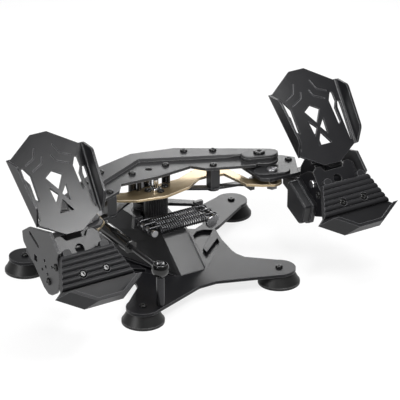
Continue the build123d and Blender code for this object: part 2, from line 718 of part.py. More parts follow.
def beam_bottom_plate():
    bottom = BOTTOM_PLATE_Z
    arm = plate(band(0, MAIN_SHAFT_BACK, BEND_X, BEND_BACK, BAND_HALF), bottom, BOTTOM_PLATE_THICKNESS)
    arm += plate(band(BEND_X, BEND_BACK, ARM_REACH, ARM_END_BACK, BAND_HALF), bottom, BOTTOM_PLATE_THICKNESS)
    arm += disc(BEND_X, BEND_BACK, bottom, 8.0, BOTTOM_PLATE_THICKNESS)
    arm += disc(ARM_REACH, ARM_END_BACK, bottom, BAND_END, BOTTOM_PLATE_THICKNESS)
    shape = disc(0, MAIN_SHAFT_BACK, bottom, BAND_END, BOTTOM_PLATE_THICKNESS) + both_sides(arm)
    shape += cable_clip()
    shape -= disc(0, MAIN_SHAFT_BACK, bottom - 1, MAIN_SHAFT_RADIUS, BOTTOM_PLATE_THICKNESS + 2)
    for x in (-ARM_REACH, ARM_REACH):
        shape -= disc(x, ARM_END_BACK, bottom - 1, PIVOT_RADIUS, BOTTOM_PLATE_THICKNESS + 2)
    return shape


CABLE_RADIUS = 1.2
CABLE_Z = BOTTOM_PLATE_TOP + 2.2
CABLE_PLACES = [(BEND_X + 5, BEND_BACK - 1), (94, 101), (118, 86)]
CLIP_X = 113.5
CLIP_BACK = 88.8


def cable_clip():
    """A tab that reaches forward from the bottom plate, with an eye for the sensor cable."""
    tab = block(CLIP_X - 3, CLIP_X + 3, CLIP_BACK - 3, 104, BOTTOM_PLATE_Z, BOTTOM_PLATE_TOP)
    eye = block(CLIP_X - 3, CLIP_X + 3, CLIP_BACK - 3.5, CLIP_BACK + 3.5, BOTTOM_PLATE_TOP, CABLE_Z + 2.2)
    run = Vector(CABLE_PLACES[2][0] - CABLE_PLACES[1][0], CABLE_PLACES[2][1] - CABLE_PLACES[1][1])
    start = Plane((CABLE_PLACES[1][0], back(CABLE_PLACES[1][1]), CABLE_Z), z_dir=(run.X, run.Y, 0))
    return tab + eye - start * Cylinder(CABLE_RADIUS, 60, align=BOTTOM)


def sensor_cable():
    (x0, d0), (x1, d1), (x2, d2) = CABLE_PLACES
    first = Vector(x1 - x0, d1 - d0)
    second = Vector(x2 - x1, d2 - d1)
    turn = radians(abs(first.get_angle(second)))
    radius = 0.45 * min(first.length, second.length) / (sin(turn / 2) / cos(turn / 2))
    print("sensor cable: radius of its bend", round(radius, 1), "mm")
    path = FilletPolyline(*[(x, back(distance), CABLE_Z) for x, distance in CABLE_PLACES], radius=radius)
    section = Plane(origin=path @ 0, z_dir=path % 0) * Circle(CABLE_RADIUS)
    return sweep(section, path=path)


def beam_spacers():
    """Two posts and two blocks between the bottom plate and the flange, each tapped for its screw."""
    height = FLANGE_Z - BOTTOM_PLATE_TOP
    post = disc(POST_X, POST_BACK, BOTTOM_PLATE_TOP, POST_RADIUS, height)
    pad = block(BEND_X - 6.5, BEND_X + 6.5, BEND_BACK - 5.5, BEND_BACK + 5.5, BOTTOM_PLATE_TOP, FLANGE_Z)
    solids = both_sides(post) + both_sides(pad)
    (x0, d0), (x1, d1) = CABLE_PLACES[:2]
    start = Plane((x0, back(d0), CABLE_Z), z_dir=(x1 - x0, d1 - d0, 0))
    solids = [solid - start * Cylinder(CABLE_RADIUS, 12, align=BOTTOM) for solid in solids]
    holes = screw_holes(POST_SCREWS, FLANGE_Z - 8.2, 10)
    return group([solid - holes for solid in solids])


def beam_flange():
    right = [(0, 124.5), (50, 129), (62, 113), (120, 89), (136, 96), (146, 114), (54, 174), (0, 188)]
    shape = plate(both_halves(right), FLANGE_Z, FLANGE_THICKNESS)
    shape += both_sides(disc(140, 101.5, FLANGE_Z, ARM_TIP_RADIUS, FLANGE_THICKNESS))
    shape -= disc(0, POST_BACK + 0.5, FLANGE_Z - 1, 4.5, FLANGE_THICKNESS + 2)
    shape -= screw_holes(TOP_SCREWS + POST_SCREWS, FLANGE_Z - 1, FLANGE_THICKNESS + 2)
    for x in (-ARM_REACH, ARM_REACH):
        shape -= disc(x, ARM_END_BACK, FLANGE_Z - 1, PIVOT_RADIUS, FLANGE_THICKNESS + 2)
    return shape


def beam_top_plate():
    """The chevron on top. Its front edge is bevelled."""
    right = [(0, 169), (101, 121), (109, 119), (115.7, 115.4), (124, 97), (146, 92), (157, 95), (160.5, 101)]
    right += [(160, 107), (152, 114.5), (55, 177), (0, 190.5)]
    shape = plate(both_halves(right), FLANGE_TOP, TOP_PLATE_THICKNESS)
    (x0, d0), (x1, d1) = right[:2]
    run = Vector(x1 - x0, d1 - d0, 0).normalized()
    edge = Plane((x0, back(d0), BEAM_TOP), x_dir=(-run.Y, run.X, 0), z_dir=run)
    wedge = Polyline((TOP_PLATE_BEVEL + 1, 1), (-1, -TOP_PLATE_BEVEL - 1), (-1, 1), close=True)
    bevel = edge * Pos(0, 0, -5) * extrude(make_face(wedge), 140) & block(0, 140, 90, 200, FLANGE_TOP, BEAM_TOP + 2)
    shape -= both_sides(bevel)
    shape += both_sides(oval(ARM_REACH, ARM_END_BACK, FLANGE_TOP, TOP_PLATE_THICKNESS))
    shape -= screw_holes(TOP_SCREWS, FLANGE_TOP - 1, TOP_PLATE_THICKNESS + 2)
    for x in (-ARM_REACH, ARM_REACH):
        shape -= disc(x, ARM_END_BACK, FLANGE_TOP - 1, PIVOT_RADIUS, TOP_PLATE_THICKNESS + 2)
    return shape


def beam_screws():
    screws = standing_screws(TOP_SCREWS, BEAM_TOP, TOP_PLATE_THICKNESS + FLANGE_THICKNESS)
    return group(screws + standing_screws(POST_SCREWS, FLANGE_TOP, FLANGE_THICKNESS + 8))


def arm_cap():
    cap = oval(ARM_REACH, ARM_END_BACK, BEAM_TOP, CAP_THICKNESS)
    cap = chamfer(cap.faces().sort_by(Axis.Z)[-1].edges(), 0.8)
    return cap - disc(ARM_REACH, ARM_END_BACK, BEAM_TOP - 1, PIVOT_RADIUS, CAP_THICKNESS + 2)


def arm_bolt():
    """The bolt of the arm's pivot with its nut, and the bush it turns in."""
    seat = BEAM_TOP + CAP_THICKNESS
    bolt = Pos(ARM_REACH, back(ARM_END_BACK), seat) * screw(seat - BOTTOM_PLATE_Z + 3, PIVOT_RADIUS, 7.5)
    return bolt + Pos(ARM_REACH, back(ARM_END_BACK), BOTTOM_PLATE_Z - 3) * extrude(RegularPolygon(8, 6), 3)


def pivot_bush():
    bush = disc(ARM_REACH, ARM_END_BACK, BOTTOM_PLATE_TOP, BUSH_RADIUS, FLANGE_Z - BOTTOM_PLATE_TOP)
    return bush - disc(ARM_REACH, ARM_END_BACK, BOTTOM_PLATE_TOP - 1, PIVOT_RADIUS, FLANGE_Z - BOTTOM_PLATE_TOP + 2)


add("main_shaft", main_shaft())
add("beam_bottom_plate", beam_bottom_plate())
add("beam_spacers", beam_spacers())
add("beam_flange", beam_flange())
add("beam_top_plate", beam_top_plate())
add("beam_screws", beam_screws())
add("arm_caps", group(both_sides(arm_cap())))
add("arm_bolts", group(both_sides(arm_bolt())))
add("pivot_bushes", group(both_sides(pivot_bush())))
add("sensor_cable", sensor_cable())

# Front link
HUB_SCREWS = [(0, FRONT_SHAFT_BACK - 12), (12, FRONT_SHAFT_BACK - 2), (-12, FRONT_SHAFT_BACK - 2)]
LINK_POSTS = [(21, 135.5), (-21, 135.5)]


def front_link():
    right = [
        (0, 104),
        (37, 112),
        (61, 127),
        (71, 127),
        (94, 122),
        (101, 81),
        (118, 68),
        (129, 63.5),
        (141, 80),
        (134, 84.5),
        (112, 93),
        (106, 131),
        (71, 153),
        (38, 139),
        (0, 139),
    ]
    shape = plate(both_halves(right), LINK_Z, LINK_THICKNESS)
    shape += both_sides(disc(ARM_REACH, LINK_END_BACK, LINK_Z, 12.5, LINK_THICKNESS))
    shape -= disc(0, FRONT_SHAFT_BACK, LINK_Z - 1, FRONT_SHAFT_RADIUS, LINK_THICKNESS + 2)
    shape -= screw_holes(HUB_SCREWS, LINK_Z - 1, LINK_THICKNESS + 2)
    for x in (-ARM_REACH, ARM_REACH):
        shape -= disc(x, LINK_END_BACK, LINK_Z - 1, OPEN_PIVOT_RADIUS + OPEN_PIVOT_CLEARANCE, LINK_THICKNESS + 2)
    return shape


def link_hub():
    hub = disc(0, FRONT_SHAFT_BACK, HOUSING_TOP + FACE_GAP, LINK_HUB_RADIUS, LINK_Z - HOUSING_TOP - FACE_GAP)
    hub -= disc(0, FRONT_SHAFT_BACK, HOUSING_TOP, FRONT_SHAFT_RADIUS, LINK_Z)
    return hub - screw_holes(HUB_SCREWS, HOUSING_TOP, LINK_Z)


def front_shaft():
    shaft = disc(0, FRONT_SHAFT_BACK, HOUSING_FLOOR + 0.5, FRONT_SHAFT_RADIUS, LINK_TOP - HOUSING_FLOOR - 0.5)
    stub = disc(0, FRONT_SHAFT_BACK, LINK_TOP, 3.5, 12.6)
    return shaft + chamfer(stub.edges().sort_by(Axis.Z)[-1], 0.6)


def link_posts():
    posts = [disc(x, distance, LINK_TOP, 2.6, 14.2) for x, distance in LINK_POSTS]
    return [chamfer(post.edges().sort_by(Axis.Z)[-1], 0.5) for post in posts]


add("front_link", front_link())
add("link_hub", link_hub())
add("front_shaft", front_shaft())
add("link_posts", group(link_posts()))
add("link_screws", group(standing_screws(HUB_SCREWS, LINK_TOP, LINK_THICKNESS + 3)))
add("damper_stud", damper_stud())

# Pedal units: the right one is built, the left one is its mirror image
CARRIER_SCREW = (172, 94)
CROSSBAR_HALF = BRACKET_HALF - BRACKET_SHEET - 0.1
CROSSBAR = (63, 75, 88)
TREAD_PLANE = Plane(
    (PEDAL_X, back(TREAD_BACK), TREAD_Z), x_dir=(1, 0, 0), z_dir=(0, -LEAN_COS, LEAN_SIN)
)
PLATE_PLANE = Plane(
    (PEDAL_X, back(PLATE_BACK), PLATE_Z), x_dir=(1, 0, 0), z_dir=(0, -LEAN_COS, LEAN_SIN)
)
BRACKET_BACK = BRACKET_DROP + BRACKET_SHEET
TREAD_SCREW_HALF = 15.4
TREAD_SCREW_DOWN = 26.5


def slab(outline, bottom, top):
    """A slab between two heights above a leaning plane. The outline is (across, up the slope)."""
    return Pos(0, 0, bottom) * extrude(make_face(Polyline(*outline, close=True)), top - bottom)


def carrier():
    outline = [(112, 66), (120, 58), (161, 55), (183, 96), (172, 110), (150, 122), (118, 122), (112, 110)]
    shape = plate(outline, CARRIER_Z, CARRIER_THICKNESS)
    boss_low = BOTTOM_PLATE_TOP + FACE_GAP
    shape += disc(ARM_REACH, ARM_END_BACK, boss_low, PIVOT_BOSS, FLANGE_Z - FACE_GAP - boss_low)
    d0, d1, low = CROSSBAR
    shape += block(PEDAL_X - CROSSBAR_HALF, PEDAL_X + CROSSBAR_HALF, d0, d1, low, CARRIER_Z)
    shape -= disc(ARM_REACH, ARM_END_BACK, boss_low - 1, BUSH_RADIUS + PIVOT_CLEARANCE, 40)
    shape -= disc(ARM_REACH, LINK_END_BACK, CARRIER_Z - 1, OPEN_PIVOT_RADIUS, CARRIER_THICKNESS + 2)
    shape -= screw_holes([CARRIER_SCREW], CARRIER_Z - 1, CARRIER_THICKNESS + 2)
    return shape


def link_cap():
    cap = oval(ARM_REACH, LINK_END_BACK, CARRIER_TOP, CAP_THICKNESS)
    cap = chamfer(cap.faces().sort_by(Axis.Z)[-1].edges(), 0.8)
    return cap - disc(ARM_REACH, LINK_END_BACK, CARRIER_TOP - 1, OPEN_PIVOT_RADIUS, CAP_THICKNESS + 2)


def link_pin():
    """The bolt that the front link turns on, with a spacer above the link and a nut below it."""
    seat = CARRIER_TOP + CAP_THICKNESS
    low = LINK_Z - FACE_GAP - 6.5
    bolt = Pos(ARM_REACH, back(LINK_END_BACK), seat) * screw(seat - low, OPEN_PIVOT_RADIUS, 7.0)
    bolt += disc(ARM_REACH, LINK_END_BACK, LINK_TOP + FACE_GAP, 7.0, CARRIER_Z - LINK_TOP - FACE_GAP)
    return bolt + Pos(ARM_REACH, back(LINK_END_BACK), low) * extrude(RegularPolygon(7, 6), 6.5)


def bracket():
    """A folded bracket: a leaning front sheet, two cheeks and a shelf for the brake spring."""
    half = BRACKET_HALF
    middle_top = BRACKET_TOP - 7
    sheet = [
        (0, BRACKET_BOTTOM),
        (half, BRACKET_BOTTOM),
        (half, BRACKET_TOP - 5),
        (half - 6, BRACKET_TOP),
        (18, BRACKET_TOP),
        (13, middle_top),
        (0, middle_top),
    ]
    shape = TREAD_PLANE * slab(both_halves(sheet), -BRACKET_BACK, -BRACKET_DROP)
    top = BRACKET_TOP - 5
    drop = BRACKET_DROP
    corner = (TREAD_BACK + top * LEAN_SIN + drop * LEAN_COS, TREAD_Z + top * LEAN_COS - drop * LEAN_SIN)
    foot_corner = (
        TREAD_BACK + BRACKET_BOTTOM * LEAN_SIN + drop * LEAN_COS,
        TREAD_Z + BRACKET_BOTTOM * LEAN_COS - drop * LEAN_SIN,
    )
    cheek = [corner, foot_corner, (-14, 80), (2, 74), (40, 76), (75, 90), (75, 106.2), (54, 106.4), (45, 111), (20, 128)]
    inner = half - BRACKET_SHEET
    for x0, x1 in ((PEDAL_X + inner, PEDAL_X + half), (PEDAL_X - half, PEDAL_X - inner)):
        shape += upright(cheek, x0, x1)
    shelf_top = BRAKE_SHELF_TOP
    spring_x = PEDAL_X + sum(BRAKE_BLADE) / 2
    shape += block(PEDAL_X - inner, PEDAL_X + inner, 26, 50, BRAKE_SHELF_Z, shelf_top)
    boss = disc(spring_x, BRAKE_SPRING_BACK, shelf_top, 4.4, 6)
    shape += chamfer(boss.edges().sort_by(Axis.Z)[-1], 0.8)
    shape -= TREAD_PLANE * Pos(0, 7, -BRACKET_BACK - 1) * Cylinder(5.75, BRACKET_SHEET + 2, align=BOTTOM)
    shape -= cross_pin(PEDAL_X - half - 1, PEDAL_X + half + 1, BRAKE_BACK, BRAKE_Z, BRAKE_SHAFT_RADIUS)
    for x in (-TREAD_SCREW_HALF, TREAD_SCREW_HALF):
        hole = Cylinder(SCREW_RADIUS + SCREW_CLEARANCE, BRACKET_SHEET + 2, align=BOTTOM)
        shape -= TREAD_PLANE * Pos(x, -TREAD_SCREW_DOWN, -BRACKET_BACK - 1) * hole
    for distance, z in SIDE_SCREWS:
        shape -= cross_pin(PEDAL_X + inner - 1, PEDAL_X + half + 1, distance, z, SCREW_RADIUS + SCREW_CLEARANCE)
    distance, z = CHEEK_SCREW
    return shape - cross_pin(PEDAL_X - half - 1, PEDAL_X - inner + 1, distance, z, SCREW_RADIUS + SCREW_CLEARANCE)


SIDE_SCREWS = [(-7.5, 107), (10.8, 81)]
CHEEK_SCREW = (-3.8, 105.4)


def side_plate():
    """The shield-shaped outer plate with its slot, its square hole and its adjusting holes."""
    outline = [
        (7.4, 145.2),
        (58.6, 131.3),
        (74.4, 120.4),
        (73.5, 113),
        (71.7, 107.2),
        (50.5, 91.2),
        (35, 77.9),
        (24.1, 67.7),
        (12.9, 63.3),
        (4.8, 65.2),
        (-4.6, 71.6),
        (-10.7, 79.2),
        (-14.7, 92.1),
        (-13.3, 108.1),
        (-9.8, 119.4),
        (-13.5, 126.5),
    ]
    inner = PEDAL_X + BRACKET_HALF + SIDE_PLATE_GAP
    outer = PEDAL_X + SIDE_PLATE_OUTER
    shape = upright(outline, inner, outer)
    shape = chamfer(shape.faces().sort_by(Axis.X)[-1].edges(), 0.6)
    slot = [(54.9, 123.2), (36.1, 114.1), (34.3, 118.7), (53.1, 127.8)]
    shape -= upright(slot, inner - 1, outer + 1)
    for distance, z in ((54, 125.5), (35.2, 116.4)):
        shape -= cross_pin(inner - 1, outer + 1, distance, z, 2.5)
    shape -= across(inner - 1, 42, 98) * Box(8, 8, SIDE_PLATE_THICKNESS + 2, align=BOTTOM)
    for distance, z in ((20.5, 104), (2.5, 103), (26.3, 90.4), (17.9, 97.1), (13.8, 89)):
        shape -= cross_pin(inner - 1, outer + 1, distance, z, 2.2)
    for distance, z in SIDE_SCREWS:
        shape += cross_pin(PEDAL_X + BRACKET_HALF, inner, distance, z, 4.6)
        shape -= cross_pin(PEDAL_X + BRACKET_HALF - 1, outer + 1, distance, z, SCREW_RADIUS + SCREW_CLEARANCE)
    return shape


def bracket_screws():
    """Screws of the side plate, the cheek, the heel rest and the carrier."""
    outer = PEDAL_X + SIDE_PLATE_OUTER
    reach = SIDE_PLATE_GAP + SIDE_PLATE_THICKNESS + BRACKET_SHEET
    solids = [Pos(outer, back(distance), z) * Rot(0, 90, 0) * screw(reach) for distance, z in SIDE_SCREWS]
    distance, z = CHEEK_SCREW
    solids.append(Pos(PEDAL_X - BRACKET_HALF, back(distance), z) * Rot(0, -90, 0) * screw(BRACKET_SHEET))
    for x in (-TREAD_SCREW_HALF, TREAD_SCREW_HALF):
        solids.append(TREAD_PLANE * Pos(x, -TREAD_SCREW_DOWN, -0.5) * screw(BRACKET_BACK - 0.5))
    solids += standing_screws([CARRIER_SCREW], CARRIER_TOP, CARRIER_THICKNESS)
    return group(solids)


SENSOR_OUTLINE = [(43, 109), (36, 115), (-1.4, 91), (6, 65), (15, 61), (43.5, 74)]


def sensor_cover():
    """The brake sensor's housing on the inner cheek: a wide base and a narrower cover, hollow."""
    start = PEDAL_X - BRACKET_HALF - 0.2
    seat = start - SENSOR_BASE_THICKNESS
    end = seat - SENSOR_COVER_THICKNESS
    face = make_face(Polyline(*[(back(distance), z) for distance, z in SENSOR_OUTLINE], close=True))
    side = Plane((0, 0, 0), x_dir=(0, 1, 0), z_dir=(1, 0, 0))
    shape = side * Pos(0, 0, seat) * extrude(fillet(face.vertices(), 2.5), SENSOR_BASE_THICKNESS)
    narrow = offset(face, -2.0, kind=Kind.INTERSECTION)
    cover = side * Pos(0, 0, end) * extrude(fillet(narrow.vertices(), 3.0), SENSOR_COVER_THICKNESS)
    shape += chamfer(cover.faces().sort_by(Axis.X)[0].edges(), 1.5)
    room = offset(face, -2.0 - SENSOR_COVER_WALL, kind=Kind.INTERSECTION)
    depth = SENSOR_BASE_THICKNESS + SENSOR_COVER_THICKNESS - SENSOR_COVER_WALL
    return shape - side * Pos(0, 0, end + SENSOR_COVER_WALL) * extrude(room, depth + 1)


def sensor_board():
    """The board inside the sensor's housing, held off its end wall by two pillars."""
    end = PEDAL_X - BRACKET_HALF - 0.2 - SENSOR_BASE_THICKNESS - SENSOR_COVER_THICKNESS + SENSOR_COVER_WALL
    board = block(end + 6, end + 7.6, 12, 36, 76, 94)
    return board + [cross_pin(end, end + 6, distance, z, 2.2) for distance, z in ((16, 80), (32, 90))]


def lip_room(shoulder, end):
    """Half outline of the room inside the lip, from the tread down to the end wall."""
    run = Vector(end[0] - shoulder[0], end[1] - shoulder[1]).normalized()
    start = Vector(*shoulder) + Vector(-run.Y, run.X) * LIP_WALL
    return [(start.X + run.X / run.Y * (down - start.Y), down) for down in (TREAD_LENGTH - 3, LIP_END - LIP_WALL)]


def lip_form(low, high):
    """A solid between two trapezoids, each given by half widths and distances down the slope."""
    faces = []
    for height, ((half0, down0), (half1, down1)) in ((-TREAD_THICKNESS, low), (LIP_HEIGHT, high)):
        outline = [(-half0, -down0), (-half1, -down1), (half1, -down1), (half0, -down0)]
        faces.append(Pos(0, 0, height) * make_face(Polyline(*outline, close=True)))
    return loft(faces, ruled=True)


def heel_rest():
    """The ribbed tread with a floor and a raised wall round its lower end."""
    pitch = TREAD_LENGTH / RIB_COUNT
    profile = [Line((0, -TREAD_THICKNESS), (0, 0))]
    for i in range(RIB_COUNT):
        middle = ((i + 0.5) * pitch, RIB_HEIGHT)
        profile.append(ThreePointArc((i * pitch, 0), middle, ((i + 1) * pitch, 0)))
    profile.append(Line((TREAD_LENGTH, 0), (TREAD_LENGTH, -TREAD_THICKNESS)))
    profile.append(Line((TREAD_LENGTH, -TREAD_THICKNESS), (0, -TREAD_THICKNESS)))
    down = Plane((60, 0, 0), x_dir=(0, -1, 0), z_dir=(-1, 0, 0))
    tread = down * extrude(make_face(profile), 120)
    trapezoid = [
        (-TREAD_HALF_TOP, 0.5),
        (TREAD_HALF_TOP, 0.5),
        (TREAD_HALF_BOTTOM, -TREAD_LENGTH - 0.5),
        (-TREAD_HALF_BOTTOM, -TREAD_LENGTH - 0.5),
    ]
    tread &= slab(trapezoid, -TREAD_THICKNESS - 1, RIB_HEIGHT + 1)
    for x in (-24.5, 24.5):
        tread += Pos(x, 1.5, -TREAD_THICKNESS) * Cylinder(5.5, TREAD_THICKNESS + 1, align=BOTTOM)
    for x in (-TREAD_SCREW_HALF, TREAD_SCREW_HALF):
        tread += Pos(x, -21, -(TREAD_THICKNESS + BRACKET_DROP) / 2) * Box(12, 24, BRACKET_DROP - TREAD_THICKNESS)
    shoulder = (LIP_SHOULDER_HALF, LIP_SHOULDER)
    end = (LIP_END_HALF, LIP_END)
    high_shoulder = (LIP_SHOULDER_HALF - LIP_LEAN, LIP_SHOULDER + 1)
    high_end = (LIP_END_HALF - LIP_LEAN + 1, LIP_END)
    wall = lip_form((shoulder, end), (high_shoulder, high_end))
    wall -= lip_form(tuple(lip_room(shoulder, end)), tuple(lip_room(high_shoulder, high_end)))
    floor = [(0, 1 - TREAD_LENGTH), (TREAD_HALF_BOTTOM - 1, 1 - TREAD_LENGTH), (56, -LIP_SHOULDER), (25.5, 1 - LIP_END)]
    floor.append((0, 1 - LIP_END))
    shape = tread + wall + slab(both_halves(floor), -TREAD_THICKNESS, LIP_FLOOR - TREAD_THICKNESS)
    for x in (-TREAD_SCREW_HALF, TREAD_SCREW_HALF):
        shape -= Pos(x, -TREAD_SCREW_DOWN, -0.5) * Cylinder(SCREW_HEAD_RADIUS + 0.4, 5, align=BOTTOM)
        shape -= Pos(x, -TREAD_SCREW_DOWN, -20) * Cylinder(SCREW_RADIUS + SCREW_CLEARANCE, 22, align=BOTTOM)
    return TREAD_PLANE * shape


def brake_shaft():
    """The pedal's hinge pin, with a flat head against each cheek."""
    left = PEDAL_X - BRACKET_HALF
    right = PEDAL_X + BRACKET_HALF
    shaft = cross_pin(left, right, BRAKE_BACK, BRAKE_Z, BRAKE_SHAFT_RADIUS)
    shaft += cross_pin(right, right + 1.6, BRAKE_BACK, BRAKE_Z, 5.2)
    head = cross_pin(left - 2.6, left, BRAKE_BACK, BRAKE_Z, 5.2)
    return shaft + fillet(head.edges().sort_by(Axis.X)[0], 1.2)


PLATE_OPENINGS = [
    [(0, 58), (11, 51), (0, 34), (-11, 51)],
    [(0, 22), (9.5, 6), (-9.5, 6)],
]
PLATE_SIDE_OPENINGS = [
    [(11.2, 38.8), (2.4, 28.5), (9.3, 18)],
    [(28, 58), (34, 68.5), (37, 67.8), (37, 56), (32.5, 48), (32.7, 29), (29, 25.6)],
    [(36.4, 46.5), (39.2, 55.5), (42, 54.6), (41.8, 45), (38.4, 4), (36.6, 4)],
]
PLATE_GROOVES = [[(30, 71), (17, 77), (12, 89)], [(24, 62), (9, 69), (6, 77)]]


def groove(points):
    """A bent groove in the plate's front face, as three points along its middle."""
    a, b, c = [Vector(*p) for p in points]
    strips = [slab(band(p.X, p.Y, q.X, q.Y, GROOVE_WIDTH / 2), -GROOVE_DEPTH, 1) for p, q in ((a, b), (b, c))]
    return strips + [Pos(b.X, b.Y, -GROOVE_DEPTH) * Cylinder(GROOVE_WIDTH / 2, 1 + GROOVE_DEPTH, align=BOTTOM)]


BOTTOM_SLOPE = (PLATE_SIDE_START - PLATE_BOTTOM_HEIGHT) / (PLATE_HALF_BOTTOM - PLATE_BOTTOM_HALF)
TOP_SLOPE = (PLATE_TOP_HEIGHT - PLATE_SIDE_HEIGHT) / (PLATE_HALF_TOP - PLATE_TOP_HALF)


def wing():
    """The side flange, folded forward along the plate's slanting right edge."""
    low = Vector(PLATE_HALF_BOTTOM, PLATE_SIDE_START, 0)
    high = Vector(PLATE_HALF_TOP, PLATE_SIDE_HEIGHT, 0)
    along = (high - low).normalized()
    outward = Vector(along.Y, -along.X, 0)
    length = (high - low).length
    fold = WING_BEND + PLATE_THICKNESS
    slant = sqrt(0.5)
    profile = [
        Line((-fold - 2, PLATE_THICKNESS), (-fold, PLATE_THICKNESS)),
        ThreePointArc(
            (-fold, PLATE_THICKNESS), (-fold + fold * slant, -WING_BEND + fold * slant), (0, -WING_BEND)
        ),
        Line((0, -WING_BEND), (0, -WING_HEIGHT)),
        Line((0, -WING_HEIGHT), (-PLATE_THICKNESS, -WING_HEIGHT)),
        Line((-PLATE_THICKNESS, -WING_HEIGHT), (-PLATE_THICKNESS, -WING_BEND)),
        ThreePointArc(
            (-PLATE_THICKNESS, -WING_BEND),
            (-fold + WING_BEND * slant, -WING_BEND + WING_BEND * slant),
            (-fold, 0),
        ),
        Line((-fold, 0), (-fold - 2, 0)),
        Line((-fold - 2, 0), (-fold - 2, PLATE_THICKNESS)),
    ]
    drop = fold * BOTTOM_SLOPE
    rise = fold * TOP_SLOPE
    start = low - along * drop
    fold_solid = Plane(start, x_dir=outward, z_dir=along) * extrude(make_face(profile), length + drop + rise)
    flange = WING_HEIGHT - WING_BEND
    points = [(-drop, -4), (-drop, 1), (flange * BOTTOM_SLOPE, WING_HEIGHT)]
    points += [(length - flange * TOP_SLOPE, WING_HEIGHT), (length + rise, 1), (length + rise, -4)]
    outline = make_face(Polyline(*points, close=True))
    outline = fillet(outline.vertices().sort_by(Axis.Y)[-2:], WING_CORNER)
    side = Plane(low - outward * (fold + 5), x_dir=along, z_dir=outward)
    return fold_solid & side * extrude(outline, fold + 6)


def pedal_plate():
    low = Vector(PLATE_HALF_BOTTOM, PLATE_SIDE_START)
    high = Vector(PLATE_HALF_TOP, PLATE_SIDE_HEIGHT)
    along = (high - low).normalized()
    inward = Vector(-along.Y, along.X) * (WING_BEND + PLATE_THICKNESS)
    low_fold = low + inward
    high_fold = high + inward
    right = [
        (0, PLATE_BOTTOM_HEIGHT),
        (PLATE_BOTTOM_HALF, PLATE_BOTTOM_HEIGHT),
        (low_fold.X, PLATE_BOTTOM_HEIGHT + (low_fold.X - PLATE_BOTTOM_HALF) * BOTTOM_SLOPE),
        (low_fold.X, low_fold.Y),
        (high_fold.X, high_fold.Y),
        (high_fold.X, PLATE_TOP_HEIGHT - (high_fold.X - PLATE_TOP_HALF) * TOP_SLOPE),
        (PLATE_TOP_HALF, PLATE_TOP_HEIGHT),
        (0, PLATE_TOP_HEIGHT),
    ]
    shape = slab(both_halves(right), -PLATE_THICKNESS, 0)
    shape += both_sides(wing())
    for outline in PLATE_OPENINGS:
        shape -= slab(outline, -PLATE_THICKNESS - 1, 1)
    for outline in PLATE_SIDE_OPENINGS:
        shape -= both_sides(slab(outline, -PLATE_THICKNESS - 1, 1))
    for points in PLATE_GROOVES:
        for strip in groove(points):
            shape -= both_sides(strip)
    return PLATE_PLANE * shape


def pedal_arm():
    """Hub on the hinge pin, blade up to the plate, and lever that presses the brake spring."""
    x0, x1 = PEDAL_X + BRAKE_BLADE[0], PEDAL_X + BRAKE_BLADE[1]
    blade = [
        (3.2, 118.2),
        (18.6, 134.4),
        (17.4, 137.6),
        (41.2, 164),
        (42.5, 151.9),
        (40, 135),
        (48, 122),
        (48, BRAKE_LEVER_Z),
        (28, BRAKE_LEVER_Z),
        (16, BRAKE_LEVER_Z + 0.4),
    ]
    shape = upright(blade, x0, x1)
    shape += cross_pin(PEDAL_X - BRAKE_HUB_HALF, PEDAL_X + BRAKE_HUB_HALF, BRAKE_BACK, BRAKE_Z, BRAKE_HUB_RADIUS)
    flange = [(-27, -14), (-4, -14), (-4, 22), (-27, 22)]
    shape += PLATE_PLANE * slab(flange, -PLATE_THICKNESS - 4, -PLATE_THICKNESS)
    bore = BRAKE_SHAFT_RADIUS + PIVOT_CLEARANCE
    return shape - cross_pin(PEDAL_X - 40, PEDAL_X + 40, BRAKE_BACK, BRAKE_Z, bore)


add_pair("carrier", carrier())
add_pair("link_cap", link_cap())
add_pair("link_pin", link_pin())
add_pair("bracket", bracket())
add_pair("side_plate", side_plate())
add_pair("bracket_screws", bracket_screws())
add_pair("sensor_cover", sensor_cover())
add_pair("sensor_board", sensor_board())
add_pair("heel_rest", heel_rest())
add_pair("brake_shaft", brake_shaft())
brake_coil_z = BRAKE_SHELF_TOP + BRAKE_SPRING_WIRE + 0.25
brake_coil_x = PEDAL_X + sum(BRAKE_BLADE) / 2
add_pair("brake_spring", Pos(brake_coil_x, back(BRAKE_SPRING_BACK), brake_coil_z) * brake_spring())
add_pair("pedal_plate", pedal_plate())
add_pair("pedal_arm", pedal_arm())

os.makedirs("parts", exist_ok=True)
for node_name, node_shape in nodes.items():
    export_step(node_shape, "parts/" + node_name + ".step")
print(len(nodes), "nodes")
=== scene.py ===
import json
from math import pi, radians
from typing import NamedTuple

import bmesh
import bpy
from mathutils import Matrix, Vector

